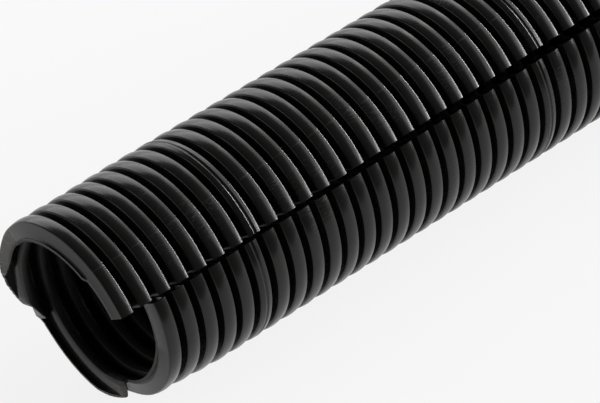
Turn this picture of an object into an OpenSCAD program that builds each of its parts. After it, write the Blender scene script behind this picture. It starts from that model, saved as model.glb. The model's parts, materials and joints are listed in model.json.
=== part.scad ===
// Split corrugated conduit: one moulded length of thin-walled tube with ring corrugations,
// slit from end to end so that it closes over cables already in place.
// The tube lies along X on the plane Z = 0. Its hand-cut end is at -X and its square end at +X.

/* [Tube] */
// Length that the stock is cut to, rounded to whole corrugations
length = 1000; // [60:1:2000]
// Outside diameter, over the crests
outer_d = 34.5; // [33:0.1:40]
// Inside diameter, between the valley lands
inner_d = 28; // [24:0.1:29]
// Wall thickness
wall = 0.5; // [0.3:0.05:0.7]

/* [Corrugations] */
// Distance from one crest to the next
pitch = 3.55; // [3.4:0.05:4.5]
// Width of a crest at its top
crest_w = 2.3; // [2:0.05:2.4]
// Lean of each flank
draft = 4; // [0:0.5:6]
// Rounding of a crest's shoulders
shoulder_r = 0.35; // [0.1:0.05:0.45]

/* [Slit] */
// Opening of the slit, measured over the crests
slit_gap = 0.7; // [0.2:0.1:3]
// Place of the slit at the hand-cut end, from the top towards -Y
slit_at = 52.5; // [20:0.5:80]
// Turn of the slit from one corrugation to the next
slit_drift = -0.2; // [-0.5:0.05:0.5]

/* [Mould seams] */
// Crests from one mould seam to the next
seam_every = 17; // [5:1:40]
// Crests before the first mould seam
seam_first = 7; // [3:1:16]
// Width of the groove that a mould seam leaves on its crest
seam_w = 0.3; // [0.1:0.05:0.6]
// Depth of that groove
seam_d = 0.12; // [0.05:0.01:0.2]

/* [Hand-cut end] */
// Corrugations that the cut climbs on its way round the tube
cut_climb = 2; // [1:1:3]
// Turn round the tube from the slit to where the cut starts to climb
cut_level = 96; // [60:1:130]

/* [Hidden] */
$fn = 72;

crest_r = outer_d / 2;
bore_r = inner_d / 2;
valley_r = bore_r + wall;
waves = round(length / pitch);
tube_l = waves * pitch;
slit_angle = slit_gap / crest_r * 180 / PI;
climb_l = cut_climb * pitch;
shoulder_steps = 2; // chords in a shoulder's rounding
bore_steps = 1; // chords in the rounding of a valley's inner edge
clear = 1; // how far a cutter stands past what it cuts

// Points of the wall's section are [radius, height above the crest's middle]
// Half the width of a crest's outside at radius r
function half_crest(r) = crest_w / 2 + (crest_r - r) * tan(draft);
function arc(middle, r, from, to, steps) =
    [for (i = [0 : steps]) let (a = from + (to - from) * i / steps) middle + r * [cos(a), sin(a)]];
function backwards(points) = [for (i = [len(points) - 1 : -1 : 0]) points[i]];
function mirrored(points) = [for (p = backwards(points)) [p[0], -p[1]]];

shoulder = [crest_r - shoulder_r, half_crest(crest_r - shoulder_r) - shoulder_r / cos(draft)];
root = [valley_r, half_crest(valley_r)];
// Outside of one half of a crest: its rounded shoulder, its flank and the sharp root
outer_side = concat(arc(shoulder, shoulder_r, 0, 90 - draft, shoulder_steps), [root]);
// Inside of the same half: the corner under the crest, then an edge rounded about the root
inner_side = concat(
    [[crest_r - wall, half_crest(crest_r - wall) - wall / cos(draft)]],
    arc(root, wall, 270 - draft, 180, bore_steps));
seam_side = [[crest_r - seam_d, seam_w / 2], [crest_r, seam_w / 2]];

function has_seam(i) = i >= seam_first && (i - seam_first) % seam_every == 0;

// Section of one corrugation's wall, from the middle of one valley to the middle of the next
module wave_section(seam) {
    outside = concat(seam ? seam_side : [], outer_side);
    polygon(concat(
        [[bore_r, -pitch / 2], [valley_r, -pitch / 2]], mirrored(outside), outside,
        [[valley_r, pitch / 2], [bore_r, pitch / 2]], backwards(inner_side), backwards(mirrored(inner_side))));
}

// Tube with its axis on Z and its first corrugation's slit at +X. The slit drifts round the tube
// by the same small turn at every valley.
module slit_tube()
    for (i = [0 : waves - 1])
        translate([0, 0, (i + 0.5) * pitch])
            rotate_extrude(angle = 360 - slit_angle, start = slit_angle / 2 + i * slit_drift)
                wave_section(has_seam(i));

// Material that the hand cut takes off the end. From the slit the cut runs square for cut_level,
// climbs across the back in one slanting plane, and ends square again on the slit's other side.
module end_cut() {
    reach = crest_r + clear;
    enter = sqrt(pow(bore_r, 2) - pow(clear, 2)); // where the slant enters and leaves the wall, from the axis
    slope = climb_l / (2 * enter);
    lower_flap = 180 - cut_level;
    rotate([0, 0, -cut_level])
        translate([0, clear, 0])
            rotate([90, 0, 0])
                linear_extrude(reach + clear)
                    polygon([[enter + clear / slope, -clear], [-enter, climb_l],
                        [-reach, climb_l], [-reach, -clear]]);
    translate([0, 0, -clear])
        linear_extrude(climb_l + clear)
            polygon([[0, 0], for (i = [0 : 2]) 2 * reach * [cos(lower_flap * i / 2), sin(lower_flap * i / 2)]]);
}

module split_conduit() {
    color("#242424")
        translate([-tube_l / 2, 0, crest_r])
            rotate([0, 90, 0])
                rotate([0, 0, 180 + slit_at])
                    difference() {
                        slit_tube();
                        end_cut();
                    }
}

split_conduit();
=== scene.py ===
# Split corrugated conduit: a black slit tube with ring corrugations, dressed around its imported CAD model.
# Metres throughout. The tube lies along X with its hand-cut end at -X.
import json
import math
import bpy
import bmesh
from mathutils import Matrix, Vector


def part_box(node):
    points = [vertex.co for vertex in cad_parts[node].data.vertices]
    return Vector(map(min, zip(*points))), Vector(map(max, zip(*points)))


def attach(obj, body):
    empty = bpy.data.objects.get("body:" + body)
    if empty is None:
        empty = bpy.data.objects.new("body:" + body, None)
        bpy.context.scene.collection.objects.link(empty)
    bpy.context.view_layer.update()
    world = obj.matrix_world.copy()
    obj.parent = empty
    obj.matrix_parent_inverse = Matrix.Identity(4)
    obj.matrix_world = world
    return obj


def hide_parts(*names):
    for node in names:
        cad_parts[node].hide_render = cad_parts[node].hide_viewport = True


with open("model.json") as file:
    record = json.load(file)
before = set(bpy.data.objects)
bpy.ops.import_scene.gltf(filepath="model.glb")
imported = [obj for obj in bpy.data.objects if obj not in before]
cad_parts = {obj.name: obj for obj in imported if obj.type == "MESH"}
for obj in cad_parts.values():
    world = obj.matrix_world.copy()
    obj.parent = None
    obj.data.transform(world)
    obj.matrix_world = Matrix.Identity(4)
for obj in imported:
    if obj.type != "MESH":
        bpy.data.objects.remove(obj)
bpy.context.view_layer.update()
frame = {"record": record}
mounts = {m["name"]: m for m in frame["record"]["mounts"]}
tubeLow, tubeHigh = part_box("split_conduit")
mm = 0.001

# The moulded wall
wave = {
    "count": 282,            # corrugations in the whole length
    "crestWidth": 2.3 * mm,
    "draft": 4,              # lean of the flanks, in degrees
    "shoulderRound": 0.35 * mm,
    "rootRound": 0.15 * mm,
    "wall": 0.5 * mm,
    "crown": 0.12 * mm,      # rise of a crest's middle over its shoulders
    "crownSteps": (0.4, 0.75),  # shares of the way from the middle to the shoulder
    "seamEvery": 17,         # the mould blocks leave a groove on every 17th crest
    "seamFirst": 7,
    "seamWidth": 0.66 * mm,  # over its rounded edges
    "seamDepth": 0.13 * mm,
    # half of the groove's section: share of its half width, and share of its depth
    "seamSection": [(0, 1), (0.3, 1), (0.62, 0.3)],
    "seamEdgeDrop": 0.1,     # share of the crown that the groove's edge lies below the middle
}
# The near end has the fine mesh and the rest a plainer one: columns round the tube, steps in each rounding
nearDetail = {"columns": 88, "shoulder": 4, "root": 2, "bore": 2, "crowned": True}
farDetail = {"columns": 44, "shoulder": 2, "root": 1, "bore": 1, "crowned": False}

crestRadius = mounts["outside"]["dims"]["r_mm"] * mm
boreRadius = mounts["bore"]["dims"]["r_mm"] * mm
valleyRadius = boreRadius + wave["wall"]
pitch = (tubeHigh.x - tubeLow.x) / wave["count"]
axisHeight = crestRadius


# Value at a place, from a list of (place, value) stops
def between(stops, at, ease=True):
    if at <= stops[0][0]:
        return stops[0][1]
    for (start, low), (end, high) in zip(stops, stops[1:]):
        if at <= end:
            share = (at - start) / (end - start)
            return low + (high - low) * (share * share * (3 - 2 * share) if ease else share)
    return stops[-1][1]


def arcPoints(along, radial, rounding, start, end, steps):
    turns = [math.radians(start + (end - start) * i / steps) for i in range(steps + 1)]
    return [(along + rounding * math.cos(t), radial + rounding * math.sin(t)) for t in turns]


def flankAt(radius):
    return wave["crestWidth"] / 2 + (crestRadius - radius) * math.tan(math.radians(wave["draft"]))


# Outer and inner line of half a corrugation, from the crest's middle to the valley's, as (along, radius)
def waveSides(detail, seam):
    draft, wall = wave["draft"], wave["wall"]
    shoulder, root = wave["shoulderRound"], wave["rootRound"]
    lean = math.cos(math.radians(draft))
    rise = wave["crown"] if detail["crowned"] else 0
    shoulderRadius = crestRadius - rise - shoulder
    shoulderAlong = flankAt(shoulderRadius) - shoulder / lean
    outer = [(0, crestRadius)]
    if seam:
        half, depth = wave["seamWidth"] / 2, wave["seamDepth"]
        outer = [(half * share, crestRadius - depth * low) for share, low in wave["seamSection"]]
        outer += [(half, crestRadius - rise * wave["seamEdgeDrop"])]
    if detail["crowned"]:
        outer += [(shoulderAlong * share, crestRadius - rise * share ** 2) for share in wave["crownSteps"]]
    # a crown meets its shoulder a little past the top
    shoulderStart = 86 if detail["crowned"] else 90
    outer += arcPoints(shoulderAlong, shoulderRadius, shoulder, shoulderStart, draft, detail["shoulder"])
    rootRadius = valleyRadius + root
    rootAlong = flankAt(rootRadius) + root / lean
    outer += arcPoints(rootAlong, rootRadius, root, 180 + draft, 270, detail["root"])
    outer += [(pitch / 2, valleyRadius)]
    inner = [(0, crestRadius - wall), (flankAt(crestRadius - wall) - wall / lean, crestRadius - wall)]
    inner += arcPoints(rootAlong, rootRadius, root + wall, 180 + draft, 270, detail["bore"])
    inner += [(pitch / 2, boreRadius)]
    if not detail["crowned"]:
        outer, inner = outer[1:], inner[1:]
    return outer, inner


# A half line mirrored to a whole corrugation, without its last point, which the next one starts with
def wholeLine(half, middle):
    left = [(middle - along, radius) for along, radius in reversed(half)]
    shared = 1 if half[0][0] == 0 else 0
    right = [(middle + along, radius) for along, radius in half[shared:]]
    return (left + right)[:-1]


# One flat face for each corrugation's wall, in the plane of the slit
def buildSection(bm, first, last, detail):
    outer, inner = [], []
    for i in range(first, last):
        seam = i >= wave["seamFirst"] and (i - wave["seamFirst"]) % wave["seamEvery"] == 0
        for lines, half in zip((outer, inner), waveSides(detail, seam)):
            lines.append([bm.verts.new((along, 0, radius)) for along, radius in wholeLine(half, (i + 0.5) * pitch)])
    for lines, radius in ((outer, valleyRadius), (inner, boreRadius)):
        lines.append([bm.verts.new((last * pitch, 0, radius))])
    faces = []
    for i in range(last - first):
        top = outer[i] + outer[i + 1][:1]
        low = inner[i] + inner[i + 1][:1]
        faces.append(bm.faces.new(top + low[::-1]))
    return faces


# How the slit tube has sprung: turns are degrees from the slit over the top and round the back
spring = {
    "openAngle": 350,        # the wall is first spun through this angle, then closed up to the real slit
    "slitAt": 52.5,          # place of the slit at the near end, from the top towards -Y
    "drift": -0.2,           # turn of the slit from one corrugation to the next
    "shear": 0.4,            # axial step between the two lips, in corrugations
    "settle": 30,            # corrugations over which the lips line up again towards the far end
    # width of the slit, by corrugations from the end and in corrugations
    "gap": [(0, 0.2), (2, 0.17), (8, 0.2), (16, 0.36), (25, 0.5), (40, 0.42), (90, 0.3), (282, 0.2)],
    # share of the moulded radius, by corrugations from the end
    "swell": [(0, 0.9935), (10, 0.9945), (26, 0.9992), (60, 0.9992)],
    # how far the near end is pressed in, in mm by turns, and how that fades by corrugations from the end
    "pinch": [(85, 0), (108, 0.35), (125, 0.55), (150, 0.55), (175, 0.42), (195, 0.2), (235, 0.15), (250, 0.5),
              (260, 0.72), (290, 0.7), (330, 0.2), (350, 0)],
    "pinchFade": [(0, 1), (2, 0.9), (6, 0)],
    "ridges": (28.5, 208.5),  # turns of the mould's two parting lines
    "ridgeHeight": 0.012 * mm,
    "ridgeHalfWidth": 0.4,   # degrees
    "ridgeReach": 0.05,      # degrees either side of a parting line that still count as on it
    "ridgeFrom": 0.3 * mm,   # height over the valleys where a ridge starts
}


# The wall of corrugations first to last, spun about X as one closed solid with its slit open
def spunWall(first, last, detail):
    bm = bmesh.new()
    geometry = buildSection(bm, first, last, detail)
    half = spring["ridgeHalfWidth"]
    stops, at = [], 0
    for ridge in spring["ridges"]:
        stops += [(ridge - 3 * half, None), (ridge - half, 1), (ridge, 1), (ridge + half, 1), (ridge + 3 * half, 1)]
    stops += [(360, None)]
    for turn, steps in stops:
        steps = steps or max(1, round((turn - at) * detail["columns"] / 360))
        edges = {e for f in geometry for e in f.edges}
        verts = {v for f in geometry for v in f.verts}
        spun = bmesh.ops.spin(
            bm, geom=list(geometry) + list(edges) + list(verts), cent=(0, 0, 0), axis=(-1, 0, 0), dvec=(0, 0, 0),
            angle=math.radians((turn - at) * spring["openAngle"] / 360), steps=steps, use_merge=False,
            use_normal_flip=False, use_duplicate=False)
        geometry = [g for g in spun["geom_last"] if isinstance(g, bmesh.types.BMFace)]
        at = turn
    return bm


# Brings the spun wall round to its real slit, presses the near end in and raises the parting lines
def closeUp(bm):
    for v in bm.verts:
        spun = math.degrees(math.atan2(v.co.y, v.co.z))
        turn = ((spun + 1) % 360 - 1) * 360 / spring["openAngle"]
        at = v.co.x / pitch
        radius = math.hypot(v.co.y, v.co.z)
        gap = between(spring["gap"], at) * pitch / crestRadius
        radius *= between(spring["swell"], at)
        radius -= between(spring["pinch"], turn) * between(spring["pinchFade"], at) * mm
        if radius > valleyRadius + spring["ridgeFrom"]:
            nearest = min(abs(turn - r) for r in spring["ridges"])
            radius += spring["ridgeHeight"] * (nearest < spring["ridgeReach"])
        angle = -(gap / 2 + math.radians(turn) * (1 - gap / (2 * math.pi)))
        v.co.y, v.co.z = -radius * math.sin(angle), radius * math.cos(angle)


# Shears the lips apart along the tube, turns the slit to its place and lays the tube down
def relax(bm):
    settleFrom = wave["count"] - spring["settle"]
    for v in bm.verts:
        at = v.co.x / pitch
        turn = math.atan2(v.co.y, v.co.z) % (2 * math.pi)
        fade = 1 - between([(settleFrom, 0), (wave["count"], 1)], at)
        v.co.x += spring["shear"] * pitch * (0.5 - turn / (2 * math.pi)) * fade
        place = math.radians(spring["slitAt"] + spring["drift"] * at)
        v.co = Matrix.Rotation(place, 3, "X") @ v.co
    bmesh.ops.translate(bm, verts=bm.verts, vec=(tubeLow.x, 0, axisHeight))


def meshObject(bm, name):
    mesh = bpy.data.meshes.new(name)
    bm.to_mesh(mesh)
    bm.free()
    piece = bpy.data.objects.new(name, mesh)
    bpy.context.scene.collection.objects.link(piece)
    return piece


# The hand cut, by turns from the slit
endCut = {
    # where it leaves the crests, in corrugations from the end
    "crests": [(0, 0.12), (28, 0.12), (40, -0.3), (96, -0.3), (106, 0.1), (120, 0.13), (148, 0.15), (158, 0.34),
               (168.4, 0.66), (172.4, 0.8), (176.4, 0.95), (180.4, 1.1), (182.4, 1.18), (185.4, 1.33), (188.4, 1.4),
               (196, 1.43), (236, 1.46), (246, 1.54), (252, 1.66), (257, 1.78), (260, 1.9), (262, 1.97), (300, 1.97),
               (330, 2.13), (360, 2.13)],
    # how much further it reaches inside them, in corrugations to the millimetre
    "lean": [(96, 0), (106, 0.034), (128, 0.031), (140, 0.048), (152, 0.09), (164, 0.03), (172, 0), (190, -0.03),
             (261, -0.03), (262, 0)],
    "step": 3,               # degrees between the knife's facets
    "slitSide": 0.5,         # degrees that the knife starts and ends from the slit's middle
    "reach": (0.8, 1.2),     # the knife's inner and outer radius, as shares of the bore's and the crests'
    "front": 2,              # corrugations that it stands out before the end
    "marked": 0.05 * mm,     # a face this close to the cut has the cut's finish
}


# Where the hand cut crosses the wall, along the tube
def cutAt(turn, radius):
    inwards = between(endCut["lean"], turn, ease=False) * (crestRadius - radius) / mm
    return (between(endCut["crests"], turn, ease=False) + inwards) * pitch


# What the knife took off, as a ring whose rear face is the cut
def cutterObject():
    inner, outer = boreRadius * endCut["reach"][0], crestRadius * endCut["reach"][1]
    front, side = -endCut["front"] * pitch, endCut["slitSide"]
    turns = [side, 360 - side] + [t for t, _ in endCut["crests"][1:-1]]
    turns += list(range(endCut["step"], 360, endCut["step"]))
    bm = bmesh.new()
    columns = []
    for turn in sorted(set(turns)):
        angle = math.radians(turn)
        corners = [(front, inner), (front, outer), (cutAt(turn, outer), outer), (cutAt(turn, inner), inner)]
        columns.append([bm.verts.new((x, r * math.sin(angle), r * math.cos(angle))) for x, r in corners])
    for now, after in zip(columns, columns[1:] + columns[:1]):
        for i in range(4):
            bm.faces.new((now[i], now[i - 1], after[i - 1], after[i]))
    bmesh.ops.triangulate(bm, faces=bm.faces)
    bmesh.ops.recalc_face_normals(bm, faces=bm.faces)
    return meshObject(bm, "endCutter")


# How far a point of the wall is from the hand cut or from the tube's first plane, whichever is nearer
def offCut(co):
    turn = math.degrees(math.atan2(co.y, co.z)) % 360
    return min(abs(co.x), abs(co.x - cutAt(turn, math.hypot(co.y, co.z))))


def cutEnd(bm):
    wallPiece, cutter = meshObject(bm, "uncutWall"), cutterObject()
    knife = wallPiece.modifiers.new("knife", "BOOLEAN")
    knife.operation, knife.solver, knife.object = "DIFFERENCE", "EXACT", cutter
    knife.use_self = True
    shown = wallPiece.evaluated_get(bpy.context.evaluated_depsgraph_get())
    out = bmesh.new()
    out.from_mesh(shown.to_mesh())
    bpy.data.objects.remove(wallPiece)
    bpy.data.objects.remove(cutter)
    for f in out.faces:
        f.material_index = int(max(offCut(v.co) for v in f.verts) < endCut["marked"])
    return out


mergeDistance = 0.001 * mm
sharpAngle = math.radians(40)


def conduitPiece(name, first, last, detail, materials):
    bm = spunWall(first, last, detail)
    closeUp(bm)
    bmesh.ops.recalc_face_normals(bm, faces=bm.faces)
    if first == 0:
        bm = cutEnd(bm)
    relax(bm)
    bmesh.ops.remove_doubles(bm, verts=bm.verts, dist=mergeDistance)
    bmesh.ops.recalc_face_normals(bm, faces=bm.faces)
    bmesh.ops.triangulate(bm, faces=[f for f in bm.faces if len(f.verts) > 4])
    for f in bm.faces:
        f.smooth = True
    for e in bm.edges:
        e.smooth = len(e.link_faces) == 2 and e.calc_face_angle(0) < sharpAngle
    openEdges = sum(len(e.link_faces) != 2 for e in bm.edges)
    piece = meshObject(bm, name)
    for material in materials:
        piece.data.materials.append(material)
    triangles = sum(len(f.vertices) - 2 for f in piece.data.polygons)
    print("made", name, "with", triangles, "triangles and", openEdges, "open edges")
    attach(piece, "root")
    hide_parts("split_conduit")


# A shader value that takes Python's operators
class Wire:
    def __init__(self, tree, socket):
        self.tree, self.socket = tree, socket

    def maths(self, operation, *values):
        return node(self.tree, "ShaderNodeMath", {"operation": operation}, dict(enumerate(values)))

    # its value from low to high turned into one from atLow to atHigh, and held there beyond
    def mapped(self, low, high, atLow=0, atHigh=1):
        return node(self.tree, "ShaderNodeMapRange", {}, {0: self, 1: low, 2: high, 3: atLow, 4: atHigh})

    def __add__(self, other): return self.maths("ADD", self, other)
    def __radd__(self, other): return self.maths("ADD", other, self)
    def __sub__(self, other): return self.maths("SUBTRACT", self, other)
    def __rsub__(self, other): return self.maths("SUBTRACT", other, self)
    def __mul__(self, other): return self.maths("MULTIPLY", self, other)
    def __rmul__(self, other): return self.maths("MULTIPLY", other, self)
    def __truediv__(self, other): return self.maths("DIVIDE", self, other)
    def __pow__(self, other): return self.maths("POWER", self, other)


def setSockets(made, sockets):
    for key, value in sockets.items():
        if isinstance(value, Wire):
            value.tree.links.new(value.socket, made.inputs[key])
        else:
            made.inputs[key].default_value = value


# Any other shader node, with its settings and its sockets by place or name. Gives back one output
def node(tree, kind, settings, sockets, out=0):
    made = tree.nodes.new(kind)
    for key, value in settings.items():
        setattr(made, key, value)
    setSockets(made, sockets)
    return Wire(tree, made.outputs[out]) if made.outputs else None


plastic = {
    "colour": (0.0115, 0.0107, 0.0102, 1),
    "pale": (0.042, 0.04, 0.039, 1),  # where it is scuffed
    "specular": 0.3,
    "roughness": 0.23,
    "roughnessSpread": 0.22,
    "boreRoughness": 0.3,    # what the bore's lands add
    "boreFade": (0.1 * mm, 0.4 * mm),  # height over the bore between which that is lost
    "scuffRoughness": 0.22,
    "cloud": 120,            # patches to the metre
    "grain": 2600,
    "bump": 0.014 * mm,
    "bumpStrength": 0.35,
    "cloudBump": 2,          # height of the cloud and depth of the scuffs, as shares of the grain's height
    "scuffBump": 1.5,
    "scuffed": 0.56,         # level of the cloud above which scuffs show: less is more scuffs
    "scuffFade": 0.16,       # levels over which they come in
    "scuffShare": 0.8,       # how far a scuff goes to the pale colour
}
cutPlastic = dict(plastic, colour=(0.045, 0.042, 0.04, 1), pale=(0.2, 0.19, 0.18, 1), roughness=0.45,
                  bump=0.05 * mm, scuffed=0.36)
# Handling marks, in degrees from the slit and corrugations from the end
marks = {
    "scratchScale": 8,       # times the cloud's
    "scratchStretch": (1, 5, 5),
    "scratchTurn": (0, 0.5, 0.7),
    "scratchLevels": (0.5, 0.72),
    "line": 28.5,            # scratches show along the parting line
    "halfLine": 0.35,
    "lineFade": 1.6,         # half widths at which the line has gone
    "lineScuff": (0.25, 0.6),  # scuff along the line, and what the scratches add to it
    "from": (8, 16),         # scuffs come in and go out between these turns
    "to": (27, 32),
    "last": (12, 24),        # and thin out between these corrugations
    "beyond": 0.15,          # share of them that is left after that
    "strength": 0.07,
    # where the knife rasped the end: turns from and to, and corrugations from and to
    "rasped": [(103, 123, -1, 0.26), (-119, -99, 1.2, 2.1)],
    "raspScale": 16,         # times the cloud's
    "raspLevels": (0.42, 0.62, 0.15, 1),  # two levels of the streaks, and the scuff at each
    "raspFade": (5, 0.02),   # degrees and corrugations over which a rasped place comes in
}


# Black moulded plastic with a faint haze, and fine scratches where handling has scuffed it
def blackPlastic(name, look):
    material = bpy.data.materials.new(name)
    material.use_nodes = True
    tree = material.node_tree
    place = node(tree, "ShaderNodeTexCoord", {}, {}, "Object")

    def noise(scale, detail, vector=place):
        return node(tree, "ShaderNodeTexNoise", {}, {"Vector": vector, "Scale": scale, "Detail": detail})

    cloud = noise(look["cloud"], 3)
    grain = noise(look["grain"], 2)
    stretched = node(tree, "ShaderNodeMapping", {}, {
        "Vector": place, "Scale": marks["scratchStretch"], "Rotation": marks["scratchTurn"]})
    scratch = noise(look["cloud"] * marks["scratchScale"], 4, stretched)
    streaks = noise(look["cloud"] * marks["raspScale"], 3)

    axes = node(tree, "ShaderNodeSeparateXYZ", {}, {0: place}).socket.node
    x, y, z = (Wire(tree, axes.outputs[i]) for i in range(3))
    height = z - axisHeight
    radius = (y * y + height * height) ** 0.5
    at = (x - tubeLow.x) / pitch
    towardsFront = 0 - y
    turn = spring["slitAt"] + at * spring["drift"] - y.maths("ARCTAN2", towardsFront, height) * (180 / math.pi)

    fromLine = turn - marks["line"]
    halfLine, (lineScuff, scratched) = marks["halfLine"], marks["lineScuff"]
    line = fromLine.maths("ABSOLUTE", fromLine).mapped(halfLine, halfLine * marks["lineFade"], 1, 0)
    handled = turn.mapped(*marks["from"]) * turn.mapped(*marks["to"], 1, 0)
    handled = handled * at.mapped(*marks["last"], 1, marks["beyond"])
    worn = (cloud + handled * marks["strength"]).mapped(look["scuffed"], look["scuffed"] + look["scuffFade"])
    lines = scratch.mapped(*marks["scratchLevels"])
    scuff = worn * lines
    scuff = scuff.maths("MAXIMUM", scuff, line * (lineScuff + scratched * lines))
    turnFade, atFade = marks["raspFade"]
    for turnFrom, turnTo, atFrom, atTo in marks["rasped"]:
        zone = turn.mapped(turnFrom, turnFrom + turnFade) * turn.mapped(turnTo - turnFade, turnTo, 1, 0)
        zone = zone * at.mapped(atFrom, atFrom + atFade) * at.mapped(atTo, atTo + atFade, 1, 0)
        scuff = scuff.maths("MAXIMUM", scuff, zone * streaks.mapped(*marks["raspLevels"]))

    colour = node(tree, "ShaderNodeMix", {"data_type": "RGBA"},
                  {0: scuff * look["scuffShare"], 6: look["colour"], 7: look["pale"]}, 2)
    fadeFrom, fadeTo = look["boreFade"]
    onBore = radius.mapped(boreRadius + fadeFrom, boreRadius + fadeTo, look["boreRoughness"], 0)
    roughness = look["roughness"] + (cloud - 0.5) * look["roughnessSpread"] + scuff * look["scuffRoughness"] + onBore
    relief = grain + cloud * look["cloudBump"] - scuff * look["scuffBump"]
    bump = node(tree, "ShaderNodeBump", {}, {
        "Height": relief, "Strength": look["bumpStrength"], "Distance": look["bump"]})
    setSockets(tree.nodes["Principled BSDF"], {
        "Base Color": colour, "Roughness": roughness, "Normal": bump, "Specular IOR Level": look["specular"]})
    return material


studio = {
    "firstShoulder": 0.919,  # the camera is placed from this point of the axis, in corrugations from the near end
    "camera": (-55.686, -76.907, 97.909),  # from there, in corrugations
    "right": (0.748056, -0.663636, 0),
    "up": (0.460952, 0.519734, 0.719305),
    "lens": 192.3,
    "sensor": 36,
    "clip": (0.01, 50),
    "floorHalf": 6,
    "floorColour": (0.92, 0.92, 0.92, 1),
    "floorGlow": 0.85,       # share of plain white that the floor shows to the camera and to reflections
    "fill": 0.08,            # the room's dim light. The camera itself sees the room as white
    "aim": 0.05,             # the lamps point this far in from the near end
    # direction from there, distance, size and power
    "lamps": {
        "backPanel": ((0.4, 0.88, 0.2), 1.0, (1.5, 0.7), 7),
        "farPanel": ((0.84, -0.02, 0.54), 1.3, (2.0, 0.7), 8),
        "farStrip": ((0.93, -0.2, 0.28), 1.35, (1.2, 0.12), 20),
        "sidePanel": ((-0.9, 0.3, 0.25), 1.4, (1.2, 0.6), 4),
    },
}
white = (1, 1, 1, 1)


def placeCamera():
    data = bpy.data.cameras.new("camera")
    data.lens, data.sensor_width, data.sensor_fit = studio["lens"], studio["sensor"], "HORIZONTAL"
    data.clip_start, data.clip_end = studio["clip"]
    camera = bpy.data.objects.new("camera", data)
    bpy.context.scene.collection.objects.link(camera)
    bpy.context.scene.camera = camera
    right = Vector(studio["right"]).normalized()
    up = Vector(studio["up"]).normalized()
    turn = Matrix((right, up, right.cross(up))).transposed()
    start = Vector((tubeLow.x + studio["firstShoulder"] * pitch, 0, axisHeight))
    camera.matrix_world = Matrix.Translation(start + Vector(studio["camera"]) * pitch) @ turn.to_4x4()


def areaLamp(name, aim, direction, distance, size, power):
    data = bpy.data.lights.new(name, "AREA")
    data.shape, data.size, data.size_y, data.energy = "RECTANGLE", size[0], size[1], power
    lamp = bpy.data.objects.new(name, data)
    bpy.context.scene.collection.objects.link(lamp)
    away = Vector(direction).normalized()
    lamp.rotation_mode = "QUATERNION"
    lamp.rotation_quaternion = away.to_track_quat("Z", "Y")
    lamp.location = aim + away * distance


def lightRoom():
    world = bpy.data.worlds.new("studio")
    bpy.context.scene.world = world
    world.use_nodes = True
    tree = world.node_tree
    tree.nodes.clear()
    camera, transmission = (
        node(tree, "ShaderNodeLightPath", {}, {}, ray) for ray in ("Is Camera Ray", "Is Transmission Ray"))
    seen = camera + transmission
    room = node(tree, "ShaderNodeBackground", {}, {
        "Color": white, "Strength": seen.maths("MAXIMUM", seen, studio["fill"])})
    node(tree, "ShaderNodeOutputWorld", {}, {"Surface": room})
    aim = Vector((tubeLow.x + studio["aim"], 0, axisHeight))
    for name, lamp in studio["lamps"].items():
        areaLamp(name, aim, *lamp)


def layFloor():
    bm = bmesh.new()
    bmesh.ops.create_grid(bm, x_segments=1, y_segments=1, size=studio["floorHalf"])
    floor = meshObject(bm, "floor")
    material = bpy.data.materials.new("paleFloor")
    material.use_nodes = True
    tree = material.node_tree
    tree.nodes.clear()
    camera, glossy, transmission = (
        node(tree, "ShaderNodeLightPath", {}, {}, ray)
        for ray in ("Is Camera Ray", "Is Glossy Ray", "Is Transmission Ray"))
    paper = node(tree, "ShaderNodeBsdfDiffuse", {}, {"Color": studio["floorColour"]})
    glow = node(tree, "ShaderNodeEmission", {}, {"Color": white, "Strength": 1})
    share = (camera + glossy + transmission) * studio["floorGlow"]
    mixed = node(tree, "ShaderNodeMixShader", {}, {0: share, 1: paper, 2: glow})
    node(tree, "ShaderNodeOutputMaterial", {}, {"Surface": mixed})
    floor.data.materials.append(material)


bpy.context.scene.view_settings.view_transform = "Standard"
placeCamera()
lightRoom()
layFloor()
print("camera, floor and lamps placed")

finishes = [blackPlastic("blackPlastic", plastic), blackPlastic("cutPlastic", cutPlastic)]
print("plastic mixed")
# Lengths of the tube, by their first and last corrugation
spans = [("conduitNear", 0, 30, nearDetail), ("conduitMiddle", 30, 114, farDetail),
         ("conduitFar", 114, 198, farDetail), ("conduitEnd", 198, 282, farDetail)]
for name, first, last, detail in spans:
    conduitPiece(name, first, last, detail, finishes)
